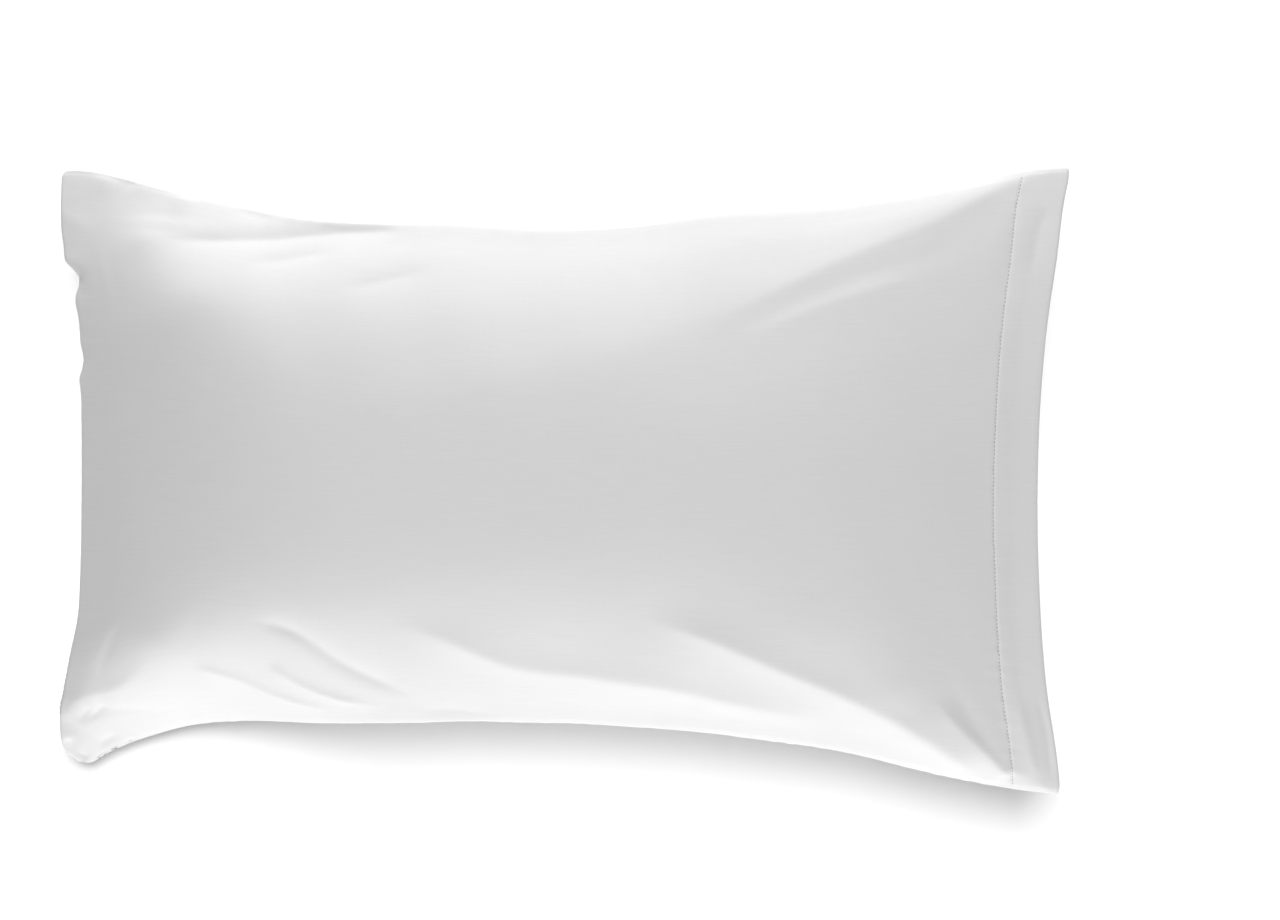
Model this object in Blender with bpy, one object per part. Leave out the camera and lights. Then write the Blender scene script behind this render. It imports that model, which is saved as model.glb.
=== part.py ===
"""A filled pillowcase with a wide hem, lying on its back: one soft solid with an open mouth.

The cloth case is 500 by 800 mm when it is flat. Here it is filled, so its sides draw in between the
corners and its face is crowned. It lies with its back on the XY plane, the closed end at -X, the hemmed
mouth at +X, and the two long side seams at +Y (upper) and -Y (lower). All sizes are in metres.

The solid is a loft through unlike cross sections. They run from the closed end along the filled length to
the two lips of the mouth, round them, and back into the pocket. They lie closely enough for the main folds.
"""

import math
from collections import namedtuple

import bmesh
import bpy

# ---- driving dimensions ----
CASE_LENGTH = 0.780  # along the middle, from the closed end to the lips
CASE_WIDTH = 0.490  # between the two seams at the ends
CROWN_RISE = 0.088  # the face's highest point above the side seams
BACK_DROP = 0.084  # how far the back would hang below the seams if nothing flattened it
SEAM_HEIGHT = 0.062  # the side seams above the floor, half way along
CLOSED_CORNER_HEIGHT = 0.014  # the two corners at the closed end droop to this height
MOUTH_CORNER_HEIGHT = 0.046  # the two corners of the mouth droop to this height
SEAM_HALF_THICKNESS = 0.0020  # half of the cloth layers where the two faces are sewn together
LIP_THICKNESS = 0.0035  # each hemmed lip of the mouth
MOUTH_GAP = 0.024  # the widest gap between the two lips
MOUTH_LIFT = 0.004  # the middle of the mouth stands this much above the side seams
LIP_RUN = 0.33  # from the lips back to where the face and back have parted for the filling
POCKET_DEPTH = 0.050  # from the lips back to the filling
POCKET_WIDTH_SHARE = 0.90  # the pocket's width as a share of the mouth's
POCKET_END_SHARE = 0.30  # the pocket's height where it ends, as a share of the mouth's
POCKET_SIDE_GAP = 0.0005  # half of the gap between the pocket's walls at its two sides
CLOSED_END_RUN = 0.27  # length over which the face rises from the closed end
MOUTH_RUN = 0.36  # length over which it falls to the mouth
SIDE_FLATNESS = 2.15  # the form across the case: 2 is round on top, and more is flatter
SIDE_STEEPNESS = 1.00  # 0.5 stands upright at the seams, and 1 leaves them at an angle
CLOSED_END_STEEPNESS = 0.80  # the same at the closed end
CORNER_DROOP_POWER = 3.2  # how late across the width an end edge droops towards its corners
DROOP_START = 0.30  # the seams droop from this share of the way out from the middle of the length
DROOP_RUN = 0.55  # and have all of their droop this share further out
HIP_SHARPNESS = 5.0  # how firmly the end slopes meet the side slopes along the corner diagonals
REST_SOFTNESS = 0.008  # height over which the back rounds into its flat patch on the floor

# ---- density of the loft ----
RINGS = 62  # cross sections from the closed end to the lips
POCKET_RINGS = 6  # cross sections from the lips back into the pocket
FACE_STEPS = 32  # steps across each face, from one side seam to the other
CROWDING = 0.45  # how far sections and steps crowd towards the edges: 0 is evenly spaced

# The long sides: y of the upper and lower seam at a share of the length from the closed end.
LongSide = namedtuple("LongSide", "share upper_y lower_y")
LONG_SIDES = (
    LongSide(0.00, 0.2480, -0.2265),
    LongSide(0.06, 0.2415, -0.2120),
    LongSide(0.12, 0.2293, -0.1970),
    LongSide(0.20, 0.2150, -0.1925),
    LongSide(0.35, 0.2015, -0.1915),
    LongSide(0.50, 0.2005, -0.1920),
    LongSide(0.65, 0.2095, -0.2010),
    LongSide(0.80, 0.2245, -0.2190),
    LongSide(0.90, 0.2372, -0.2365),
    LongSide(0.95, 0.2470, -0.2460),
    LongSide(1.00, 0.2480, -0.2490),
)

# The short ends: x of the closed end and of the mouth at a share of the width from the lower seam.
ShortEnd = namedtuple("ShortEnd", "share closed_x mouth_x")
SHORT_ENDS = (
    ShortEnd(0.00, -0.3940, 0.3960),
    ShortEnd(0.06, -0.4030, 0.3930),
    ShortEnd(0.13, -0.3985, 0.3875),
    ShortEnd(0.25, -0.3895, 0.3812),
    ShortEnd(0.40, -0.3825, 0.3785),
    ShortEnd(0.55, -0.3808, 0.3795),
    ShortEnd(0.70, -0.3822, 0.3845),
    ShortEnd(0.82, -0.3893, 0.3900),
    ShortEnd(0.91, -0.4010, 0.3965),
    ShortEnd(1.00, -0.4015, 0.4030),
)

# The four corners, which no filling reaches: slack is the share of the fullness that a corner loses, and
# reach is how far from the corner that goes.
Corner = namedtuple("Corner", "along across slack reach")
CORNERS = (
    Corner(0.0, 1.0, 0.95, 0.125),
    Corner(0.0, 0.0, 0.80, 0.090),
    Corner(1.0, 1.0, 0.60, 0.120),
    Corner(1.0, 0.0, 0.60, 0.110),
)

# The main folds of the face, each a soft ridge from one point to another. bow is how far its middle
# swings to the left of that line, and width is the ridge's half width.
Fold = namedtuple("Fold", "name x0 y0 x1 y1 bow width height")
FOLDS = (
    Fold("mouth_upper_drag", 0.085, 0.118, 0.365, 0.236, 0.006, 0.022, 0.0085),
    Fold("mouth_lower_drag", 0.240, -0.146, 0.356, -0.236, 0.004, 0.020, 0.0080),
    Fold("lower_long", -0.135, -0.120, 0.300, -0.214, 0.008, 0.020, 0.0080),
    Fold("lower_right_long", 0.050, -0.112, 0.330, -0.228, 0.012, 0.020, 0.0065),
    Fold("lower_left_first", -0.235, -0.122, -0.080, -0.184, -0.008, 0.018, 0.0055),
    Fold("lower_left_second", -0.285, -0.150, -0.150, -0.188, -0.008, 0.016, 0.0045),
    Fold("upper_left", -0.310, 0.196, -0.120, 0.188, -0.004, 0.016, 0.0055),
)

CLOTH_COLOUR = (0.86, 0.86, 0.86, 1.0)
CLOTH_ROUGHNESS = 0.75


def start_empty():
    """Removes the objects that a new scene starts with."""
    for thing in list(bpy.data.objects):
        bpy.data.objects.remove(thing, do_unlink=True)


def smooth_value(rows, share, column):
    """A column of a table at a share between its rows, on a smooth curve through every row."""
    last = len(rows) - 1
    k = 0
    while k < last - 1 and share > rows[k + 1].share:
        k += 1
    before, start, end, after = (rows[min(max(i, 0), last)] for i in (k - 1, k, k + 1, k + 2))
    run = end.share - start.share
    value_start, value_end = getattr(start, column), getattr(end, column)
    slope_start = (value_end - getattr(before, column)) / (end.share - before.share)
    slope_end = (getattr(after, column) - value_start) / (after.share - start.share)
    w = (share - start.share) / run
    return (
        (2 * w**3 - 3 * w**2 + 1) * value_start
        + (w**3 - 2 * w**2 + w) * slope_start * run
        + (3 * w**2 - 2 * w**3) * value_end
        + (w**3 - w**2) * slope_end * run
    )


def plan_point(along, across):
    """x and y on the case for a share of its length and a share of its width, inside its four edges."""
    closed_x = smooth_value(SHORT_ENDS, across, "closed_x")
    mouth_x = smooth_value(SHORT_ENDS, across, "mouth_x")
    lower_y = smooth_value(LONG_SIDES, along, "lower_y")
    upper_y = smooth_value(LONG_SIDES, along, "upper_y")
    x = closed_x + (mouth_x - closed_x) * along
    y = lower_y + (upper_y - lower_y) * across
    return x, y


def side_profile(across):
    """The height across the width: 0 at the side seams and 1 in the middle."""
    return (1 - abs(2 * across - 1) ** SIDE_FLATNESS) ** SIDE_STEEPNESS


def end_profile(distance, run):
    """The height along the length: 0 at an end, and 1 at the given run from it."""
    return 1 - max(0.0, 1 - distance / run) ** 2


def corner_fullness(along, across):
    """What the slack corners leave of the fullness."""
    left = 1.0
    for corner in CORNERS:
        aside = math.hypot((along - corner.along) * CASE_LENGTH, (across - corner.across) * CASE_WIDTH)
        left *= 1 - corner.slack * max(0.0, 1 - (aside / corner.reach) ** 2) ** 2
    return left


def fullness(along, across):
    """How full the case is: 0 at its edges and 1 in the middle, with hips along the corner diagonals."""
    profiles = (
        side_profile(across),
        end_profile(along * CASE_LENGTH, CLOSED_END_RUN) ** CLOSED_END_STEEPNESS,
        end_profile((1 - along) * CASE_LENGTH, MOUTH_RUN),
    )
    if min(profiles) <= 0:
        return 0.0
    total = sum(profile**-HIP_SHARPNESS - 1 for profile in profiles)
    return corner_fullness(along, across) * (1 + total) ** (-1 / HIP_SHARPNESS)


def lip_share(along):
    """0 over the filled length, rising smoothly to 1 at the lips."""
    near = max(0.0, 1 - (1 - along) * CASE_LENGTH / LIP_RUN)
    return 0.5 - 0.5 * math.cos(math.pi * near)


def end_share(along):
    """0 over the middle of the length, rising smoothly to 1 a little before either end."""
    near = min(1.0, max(0.0, (abs(2 * along - 1) - DROOP_START) / DROOP_RUN))
    return 0.5 - 0.5 * math.cos(math.pi * near)


def seam_height(along, across):
    """Height of the sewn edge, and of the middle layer between the face and the back."""
    corner_height = CLOSED_CORNER_HEIGHT if along < 0.5 else MOUTH_CORNER_HEIGHT
    towards_corner = abs(2 * across - 1) ** CORNER_DROOP_POWER * end_share(along)
    lift = MOUTH_LIFT * lip_share(along) * (1 - towards_corner)
    return SEAM_HEIGHT + lift - (SEAM_HEIGHT - corner_height) * towards_corner


def mouth_half_gap(across):
    """Half of the gap between the two lips: a lens that closes at the corners."""
    return 0.5 * MOUTH_GAP * (1 - (2 * across - 1) ** 2)


def lip_height(along, across):
    """How far a lip's outer side stands from the middle layer."""
    return (mouth_half_gap(across) + LIP_THICKNESS * side_profile(across) ** 0.5) * lip_share(along)


def fold_height(x, y):
    """What the main folds add to the face at a point."""
    height = 0.0
    for fold in FOLDS:
        run_x, run_y = fold.x1 - fold.x0, fold.y1 - fold.y0
        length = math.hypot(run_x, run_y)
        share = ((x - fold.x0) * run_x + (y - fold.y0) * run_y) / length**2
        if not 0 < share < 1:
            continue
        aside = ((y - fold.y0) * run_x - (x - fold.x0) * run_y) / length
        aside -= 4 * fold.bow * share * (1 - share)
        height += fold.height * math.sin(math.pi * share) * math.exp(-((aside / fold.width) ** 2))
    return height


def seam_half(across):
    """Half of the thickness at an edge, closing to nothing at the side seams."""
    return SEAM_HALF_THICKNESS * side_profile(across) ** 0.25


def face_point(along, across):
    """A point of the crowned face."""
    x, y = plan_point(along, across)
    rise = CROWN_RISE * fullness(along, across)
    folds = fold_height(x, y) * side_profile(across) ** 0.5
    z = seam_height(along, across) + seam_half(across) + rise + lip_height(along, across) + folds
    return x, y, z


def rest_on_floor(z):
    """Stops a height at the floor, rounding into it so that the flat patch has a soft border."""
    if z >= REST_SOFTNESS:
        return z
    return max(0.0, z + REST_SOFTNESS) ** 2 / (4 * REST_SOFTNESS)


def back_point(along, across):
    """A point of the back, flat where the case rests."""
    x, y = plan_point(along, across)
    drop = BACK_DROP * fullness(along, across)
    z = seam_height(along, across) - seam_half(across) - drop - lip_height(along, across)
    return x, y, rest_on_floor(z)


def pocket_point(depth_share, across, side):
    """A point inside the mouth. side is 1 on the upper lip and -1 on the lower one."""
    inner = 0.5 + (across - 0.5) * POCKET_WIDTH_SHARE
    depth = POCKET_DEPTH * depth_share
    x, y = plan_point(1.0, inner)
    closing = (1 - depth_share**4) ** 0.5
    share_of_gap = POCKET_END_SHARE + (1 - POCKET_END_SHARE) * closing
    half = mouth_half_gap(across) * share_of_gap + POCKET_SIDE_GAP
    return x - depth, y, seam_height(1 - depth / CASE_LENGTH, inner) + side * half


def crowd_to_ends(share):
    """Moves evenly spaced shares towards 0 and 1, where the form is steepest."""
    return (1 - CROWDING) * share + CROWDING * (0.5 - 0.5 * math.cos(math.pi * share))


def ring_shares():
    """Shares of the length for the cross sections, closer together at the two ends."""
    return [crowd_to_ends(k / (RINGS - 1)) for k in range(RINGS)]


def across_shares():
    """Shares of the width from the upper seam to the lower one, closer together at the seams."""
    return [1 - crowd_to_ends(k / FACE_STEPS) for k in range(FACE_STEPS + 1)]


def ring_of(face, back):
    """One closed cross section: over the face from the upper seam to the lower, and back underneath."""
    widths = across_shares()
    return [face(w) for w in widths] + [back(w) for w in reversed(widths[1:-1])]


def case_rings():
    """Every cross section in order: the closed end, the filled length, the lips and the pocket."""
    rings = []
    for along in ring_shares():
        rings.append(ring_of(lambda w: face_point(along, w), lambda w: back_point(along, w)))
    for k in range(POCKET_RINGS):
        depth = k / (POCKET_RINGS - 1)
        rings.append(ring_of(lambda w: pocket_point(depth, w, 1), lambda w: pocket_point(depth, w, -1)))
    return rings


def close_end(shape, ring):
    """Fills an end cross section, joining each vertex of the face to the one under it."""
    count = len(ring)
    for k in range(FACE_STEPS):
        corners = (ring[k], ring[k + 1], ring[(count - k - 1) % count], ring[(count - k) % count])
        shape.faces.new(list(dict.fromkeys(corners)))


def build_pillowcase(collection):
    """Lofts the cross sections into one closed solid."""
    shape = bmesh.new()
    rings = [[shape.verts.new(point) for point in ring] for ring in case_rings()]
    for near, far in zip(rings, rings[1:]):
        for k in range(len(near)):
            n = (k + 1) % len(near)
            shape.faces.new((near[k], near[n], far[n], far[k]))
    close_end(shape, rings[0])
    close_end(shape, rings[-1])
    bmesh.ops.recalc_face_normals(shape, faces=shape.faces)
    mesh = bpy.data.meshes.new("pillowcase")
    shape.to_mesh(mesh)
    shape.free()
    mesh.shade_smooth()
    mesh.materials.append(cotton())
    case = bpy.data.objects.new("pillowcase", mesh)
    collection.objects.link(case)
    return case


def cotton():
    """White woven cotton."""
    material = bpy.data.materials.new("white_cotton")
    material.use_nodes = True
    shader = material.node_tree.nodes["Principled BSDF"]
    shader.inputs["Base Color"].default_value = CLOTH_COLOUR
    shader.inputs["Roughness"].default_value = CLOTH_ROUGHNESS
    shader.inputs["Metallic"].default_value = 0.0
    return material


def main():
    start_empty()
    collection = bpy.data.collections.new("pillowcase_parts")
    bpy.context.scene.collection.children.link(collection)
    build_pillowcase(collection)


main()
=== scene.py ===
# %% [markdown]
# # A filled pillowcase, lying on its back
#
# A plain white cotton pillowcase, 500 by 800 mm when it is flat, with a pillow inside. The filling
# crowns its face, and that draws the cloth in between the four corners, which stay flat and empty.
# One short end is a fold. The other is the mouth, with a hem 40 mm wide and one row of stitches.
#
# The lesson starts from a frame: a simple solid of the filled case, which gives the size and the place.
# Each cell then adds what the real case shows, and prints what it made.

import math
import time
from collections import namedtuple

import bmesh
import bpy
import numpy as np
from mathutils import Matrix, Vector


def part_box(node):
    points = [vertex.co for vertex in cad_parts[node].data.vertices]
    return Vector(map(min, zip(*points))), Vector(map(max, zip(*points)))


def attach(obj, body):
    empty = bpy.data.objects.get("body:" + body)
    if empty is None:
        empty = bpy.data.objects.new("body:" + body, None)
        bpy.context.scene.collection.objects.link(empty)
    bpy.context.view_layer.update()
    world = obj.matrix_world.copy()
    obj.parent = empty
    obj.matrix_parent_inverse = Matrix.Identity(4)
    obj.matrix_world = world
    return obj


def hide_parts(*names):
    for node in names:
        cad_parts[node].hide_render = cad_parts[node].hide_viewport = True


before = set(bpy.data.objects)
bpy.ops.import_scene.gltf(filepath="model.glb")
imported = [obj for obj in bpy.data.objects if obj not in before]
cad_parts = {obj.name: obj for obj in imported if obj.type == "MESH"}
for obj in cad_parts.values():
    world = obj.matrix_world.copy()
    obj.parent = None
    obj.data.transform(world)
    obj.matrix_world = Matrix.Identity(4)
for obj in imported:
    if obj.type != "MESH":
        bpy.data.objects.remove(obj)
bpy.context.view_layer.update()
low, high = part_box("pillowcase")
LENGTH, WIDTH, HEIGHT = high - low
print(f"the case measures {LENGTH:.3f} by {WIDTH:.3f} m, and is {HEIGHT:.3f} m high")

# %% [markdown]
# ## The camera
#
# A case this flat is best seen from straight above, so the camera looks down along Z, with the closed
# end at the left. A long lens keeps the high crown from looking larger than the low corners. The camera
# stands 2.4 m above the seams, and its lens follows from how wide a view it should take in at that height.

# %% Place the camera
SEAM_HEIGHT = 0.408 * HEIGHT  # the side seams above the floor, half way along
CAMERA_RISE = 2.4
VIEW_WIDTH = 1.255 * LENGTH
SENSOR = 0.036

camera_data = bpy.data.cameras.new("camera")
camera_data.sensor_width = 1000 * SENSOR
camera_data.lens = 1000 * SENSOR * CAMERA_RISE / VIEW_WIDTH
camera = bpy.data.objects.new("camera", camera_data)
bpy.context.scene.collection.objects.link(camera)
camera.location = (0.0755 * LENGTH, 0.033 * WIDTH, SEAM_HEIGHT + CAMERA_RISE)
bpy.context.scene.camera = camera
print(f"a {camera_data.lens:.0f} mm lens, {camera.location.z:.2f} m above the floor")

# %% [markdown]
# ## The outline
#
# Between the corners the filling draws every edge inwards, and no two edges alike. Four short tables say
# how far: one for each edge, with a row for each place where the edge bends. A smooth curve through the
# rows gives every place between them. The closed end has two small notches, where the filling pulls the
# fold into tucks. They have a table of their own, since they reach only a little way into the cloth.

# %% The long edges
# y of a long seam, in shares of the width, at a share of the length from the closed end.
LongEdge = namedtuple("LongEdge", "along y")
UPPER_EDGE = (
    LongEdge(0.000, 0.5015),
    LongEdge(0.030, 0.4978),
    LongEdge(0.060, 0.4868),
    LongEdge(0.090, 0.4735),
    LongEdge(0.120, 0.4606),
    LongEdge(0.178, 0.4396),
    LongEdge(0.236, 0.4209),
    LongEdge(0.330, 0.4109),
    LongEdge(0.390, 0.4100),
    LongEdge(0.485, 0.4000),
    LongEdge(0.565, 0.4065),
    LongEdge(0.650, 0.4245),
    LongEdge(0.750, 0.4355),
    LongEdge(0.810, 0.4491),
    LongEdge(0.900, 0.4765),
    LongEdge(0.963, 0.4990),
    LongEdge(1.000, 0.5025),
)
LOWER_EDGE = (
    LongEdge(0.000, -0.4680),
    LongEdge(0.020, -0.4640),
    LongEdge(0.045, -0.4420),
    LongEdge(0.090, -0.4150),
    LongEdge(0.135, -0.3970),
    LongEdge(0.170, -0.3915),
    LongEdge(0.265, -0.3905),
    LongEdge(0.345, -0.3868),
    LongEdge(0.440, -0.3850),
    LongEdge(0.565, -0.3932),
    LongEdge(0.690, -0.4120),
    LongEdge(0.780, -0.4340),
    LongEdge(0.840, -0.4565),
    LongEdge(0.955, -0.4955),
    LongEdge(1.000, -0.5035),
)

# %% The short edges
# x of a short edge, in shares of the length, at a share of the width from the lower seam.
ShortEdge = namedtuple("ShortEdge", "across x")
CLOSED_EDGE = (
    ShortEdge(0.000, -0.4963),
    ShortEdge(0.027, -0.4994),
    ShortEdge(0.074, -0.5006),
    ShortEdge(0.131, -0.4938),
    ShortEdge(0.200, -0.4851),
    ShortEdge(0.258, -0.4770),
    ShortEdge(0.329, -0.4738),
    ShortEdge(0.450, -0.4722),
    ShortEdge(0.600, -0.4724),
    ShortEdge(0.700, -0.4735),
    ShortEdge(0.770, -0.4772),
    ShortEdge(0.830, -0.4855),
    ShortEdge(0.880, -0.4925),
    ShortEdge(0.930, -0.4950),
    ShortEdge(1.000, -0.4955),
)
# Two small tucks in the fold: how far they shift the closed edge.
CLOSED_TUCKS = (
    ShortEdge(0.000, 0.0000),
    ShortEdge(0.590, 0.0000),
    ShortEdge(0.620, 0.0000),
    ShortEdge(0.655, -0.0016),
    ShortEdge(0.672, 0.0026),
    ShortEdge(0.705, 0.0004),
    ShortEdge(0.755, 0.0000),
    ShortEdge(0.782, -0.0012),
    ShortEdge(0.802, 0.0060),
    ShortEdge(0.814, 0.0100),
    ShortEdge(0.825, 0.0080),
    ShortEdge(0.837, -0.0004),
    ShortEdge(0.870, 0.0000),
    ShortEdge(0.900, 0.0000),
    ShortEdge(1.000, 0.0000),
)
TUCK_REACH = 0.020  # how far the tucks run in from the fold
MOUTH_EDGE = (
    ShortEdge(0.000, 0.4895),
    ShortEdge(0.069, 0.4839),
    ShortEdge(0.165, 0.4735),
    ShortEdge(0.246, 0.4680),
    ShortEdge(0.326, 0.4648),
    ShortEdge(0.438, 0.4625),
    ShortEdge(0.530, 0.4630),
    ShortEdge(0.615, 0.4652),
    ShortEdge(0.743, 0.4725),
    ShortEdge(0.872, 0.4850),
    ShortEdge(0.936, 0.4905),
    ShortEdge(1.000, 0.5000),
)


def curve_through(rows, at):
    """The value of a table's second column at each share in at, on a smooth curve through every row."""
    shares, values = np.array(rows, float).T
    slopes = np.gradient(values, shares)
    k = np.clip(np.searchsorted(shares, at, side="right") - 1, 0, len(shares) - 2)
    run = shares[k + 1] - shares[k]
    w = (at - shares[k]) / run
    return (
        (2 * w**3 - 3 * w**2 + 1) * values[k]
        + (w**3 - 2 * w**2 + w) * slopes[k] * run
        + (3 * w**2 - 2 * w**3) * values[k + 1]
        + (w**3 - w**2) * slopes[k + 1] * run
    )


middle = np.array([0.5])
waist = WIDTH * (curve_through(UPPER_EDGE, middle) - curve_through(LOWER_EDGE, middle))[0]
print(f"the case draws in from {WIDTH:.3f} m at its corners to {waist:.3f} m at its waist")

# %% [markdown]
# ## The four corners
#
# No filling reaches the corners, so the cloth there is slack. The lower corner of the fold comes down
# almost to the floor, and the other three stand in the air, a little below the seams. The two corners of
# the fold are round, the lower one most of all, and the two of the mouth are square. A row for each
# corner says how high it is, how much of the fullness it loses, how far in, and how round it is.

# %% Corners
CASE_LENGTH = 0.968 * LENGTH  # along the middle, from the closed end to the lips
CASE_WIDTH = 0.986 * WIDTH  # between the two seams at the ends
CORNER_PULL = 0.25  # how far a round corner is drawn in, in shares of its roundness
Corner = namedtuple("Corner", "along across height slack reach roundness")
CORNERS = (
    Corner(0, 1, 0.044, 0.95, 0.150, 0.010),
    Corner(0, 0, 0.010, 0.90, 0.120, 0.026),
    Corner(1, 1, 0.057, 0.30, 0.120, 0.006),
    Corner(1, 0, 0.056, 0.30, 0.110, 0.006),
)


def beyond(distance, reach):
    """1 at no distance, falling smoothly to 0 at the given reach."""
    return (1 - distance / reach).clip(0, 1) ** 2


def plan_of(along, across):
    """x and y for shares of the length and of the width, inside the four edges."""
    closed, mouth = (LENGTH * curve_through(edge, across) for edge in (CLOSED_EDGE, MOUTH_EDGE))
    lower, upper = (WIDTH * curve_through(edge, along) for edge in (LOWER_EDGE, UPPER_EDGE))
    tucks = LENGTH * curve_through(CLOSED_TUCKS, across) * beyond(along * LENGTH, TUCK_REACH)
    x = closed + (mouth - closed) * along + tucks
    y = lower + (upper - lower) * across
    for corner in CORNERS:
        end_gap = np.abs(along - corner.along) * CASE_LENGTH
        side_gap = np.abs(across - corner.across) * CASE_WIDTH
        inward = beyond(end_gap, corner.roundness) * beyond(side_gap, corner.roundness)
        x = x + (1 - 2 * corner.along) * CORNER_PULL * corner.roundness * inward
        y = y + (1 - 2 * corner.across) * CORNER_PULL * corner.roundness * inward
    return x, y


def corner_fullness(along, across):
    """What the slack corners leave of the fullness."""
    left = 1.0
    for corner in CORNERS:
        aside = np.hypot((along - corner.along) * CASE_LENGTH, (across - corner.across) * CASE_WIDTH)
        left = left * (1 - corner.slack * (1 - (aside / corner.reach) ** 2).clip(0) ** 2)
    return left


for corner in CORNERS:
    print(f"corner at ({corner.along}, {corner.across}): {1000 * corner.height:.0f} mm above the floor")

# %% [markdown]
# ## The filled form
#
# Across the case, the cloth climbs from each seam at about 38 degrees and is nearly flat on top. Along
# it, the face rises from the closed end and falls to the mouth. Where a side slope meets an end slope, a
# soft hip runs out to the corner. A smooth minimum of the three slopes makes these hips, which a plain
# product of the slopes would round away. Near the mouth the face leans: beside its upper seam it stays
# lower than beside its lower one. The hem is two layers thick, so it is stiffer than the rest: it flares
# up a little from its stitches instead of following the slope.

# %% Heights of the filled case
MOUTH_LIFT = 0.001  # the middle of the mouth stands this much above the side seams
SEAM_HALF_THICKNESS = 0.0014
LIP_THICKNESS = 0.0022
MOUTH_GAP = 0.022
LIP_RUN = 0.33  # the lips start to part this far behind the mouth
HEM_DEPTH = 0.0366
HEM_SHARE = 1 - HEM_DEPTH / (0.947 * LENGTH)
HEM_FLARE = 0.0050
HEM_FLARE_POWER = 0.6
EDGE_POWER = 0.25  # how soon an edge reaches its full thickness beside a side seam
RELIEF_ROOM = 0.0015  # left between the smooth crown and the top of the frame
CROWN_RISE = HEIGHT - SEAM_HEIGHT - RELIEF_ROOM
BACK_DROP = 0.084
REST_SOFTNESS = 0.008
CORNER_DROOP_POWER = 3.2
DROOP_START = 0.30
DROOP_RUN = 0.55
HIP_SHARPNESS = 5.0
LEAST_PROFILE = 1e-5
# How much lower the face is beside each seam near the mouth, and how far from the mouth that fades.
UPPER_LEAN = 0.62
LOWER_LEAN = 0.12
LEAN_ROUNDING = 0.20
LEAN_START = 0.22
LEAN_FADE = 0.16

# How the face climbs from an edge to the crown: its rise, as a share of the whole, at a distance from
# that edge. Across the case the distance is a share of the width, and along it is in metres.
Slope = namedtuple("Slope", "distance rise")
SIDE_SLOPE = (
    Slope(0.000, 0.000),
    Slope(0.040, 0.148),
    Slope(0.080, 0.292),
    Slope(0.120, 0.430),
    Slope(0.160, 0.557),
    Slope(0.210, 0.696),
    Slope(0.290, 0.856),
    Slope(0.370, 0.950),
    Slope(0.450, 0.992),
    Slope(0.500, 1.000),
)
CLOSED_END_SLOPE = (
    Slope(0.00, 0.000),
    Slope(0.03, 0.235),
    Slope(0.06, 0.442),
    Slope(0.10, 0.667),
    Slope(0.15, 0.858),
    Slope(0.20, 0.952),
    Slope(0.26, 0.993),
    Slope(0.31, 1.000),
    Slope(1.00, 1.000),
)
MOUTH_SLOPE = (
    Slope(0.00, 0.000),
    Slope(0.04, 0.155),
    Slope(0.08, 0.330),
    Slope(0.15, 0.640),
    Slope(0.24, 0.915),
    Slope(0.30, 0.991),
    Slope(0.34, 1.000),
    Slope(1.00, 1.000),
)


def ease(share):
    """0 to 1, leaving 0 and reaching 1 gently."""
    return 0.5 - 0.5 * np.cos(math.pi * np.clip(share, 0, 1))


def mouth_lean(along, across):
    """How much of the mouth's slope is left beside the middle: the face leans towards the upper side."""
    aside = 2 * across - 1
    full = math.hypot(1, LEAN_ROUNDING) - LEAN_ROUNDING
    away = (np.hypot(aside, LEAN_ROUNDING) - LEAN_ROUNDING) / full
    near_mouth = 1 - ease(((1 - along) * CASE_LENGTH - LEAN_START) / LEAN_FADE)
    return 1 - np.where(aside > 0, UPPER_LEAN, LOWER_LEAN) * away * near_mouth


def side_profile(across):
    """0 at the two side seams and 1 in the middle."""
    return curve_through(SIDE_SLOPE, 0.5 - np.abs(across - 0.5))


def fullness(along, across):
    """0 at the edges and 1 in the middle, with hips along the corner diagonals."""
    profiles = (
        side_profile(across),
        curve_through(CLOSED_END_SLOPE, along * CASE_LENGTH),
        mouth_lean(along, across) * curve_through(MOUTH_SLOPE, (1 - along) * CASE_LENGTH),
    )
    total = sum(profile.clip(LEAST_PROFILE) ** -HIP_SHARPNESS - 1 for profile in profiles)
    return corner_fullness(along, across) * (1 + total.clip(0)) ** (-1 / HIP_SHARPNESS)


print(f"the crown stands {CROWN_RISE:.3f} m above the seams, and those {SEAM_HEIGHT:.3f} m above the floor")


# %% The face and the back
def lip_share(along):
    """0 over the filled length, rising smoothly to 1 at the lips."""
    return ease(1 - (1 - along) * CASE_LENGTH / LIP_RUN)


def seam_height_at(along, across):
    """Height of the sewn edge, and of the middle layer between face and back."""
    towards_corner = np.abs(2 * across - 1) ** CORNER_DROOP_POWER
    towards_corner = towards_corner * ease((np.abs(2 * along - 1) - DROOP_START) / DROOP_RUN)
    upper = ease(across)
    closed_end = CORNERS[1].height + (CORNERS[0].height - CORNERS[1].height) * upper
    mouth_end = CORNERS[3].height + (CORNERS[2].height - CORNERS[3].height) * upper
    corner_height = np.where(along < 0.5, closed_end, mouth_end)
    lift = MOUTH_LIFT * lip_share(along) * (1 - towards_corner)
    return SEAM_HEIGHT + lift - (SEAM_HEIGHT - corner_height) * towards_corner


def mouth_half_gap(across):
    """Half of the gap between the two lips: a lens that closes at the corners."""
    return 0.5 * MOUTH_GAP * (1 - (2 * across - 1) ** 2)


def lip_height(along, across):
    """How far a lip's outer side stands from the middle layer."""
    return (mouth_half_gap(across) + LIP_THICKNESS * side_profile(across).clip(0) ** 0.5) * lip_share(along)


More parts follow.
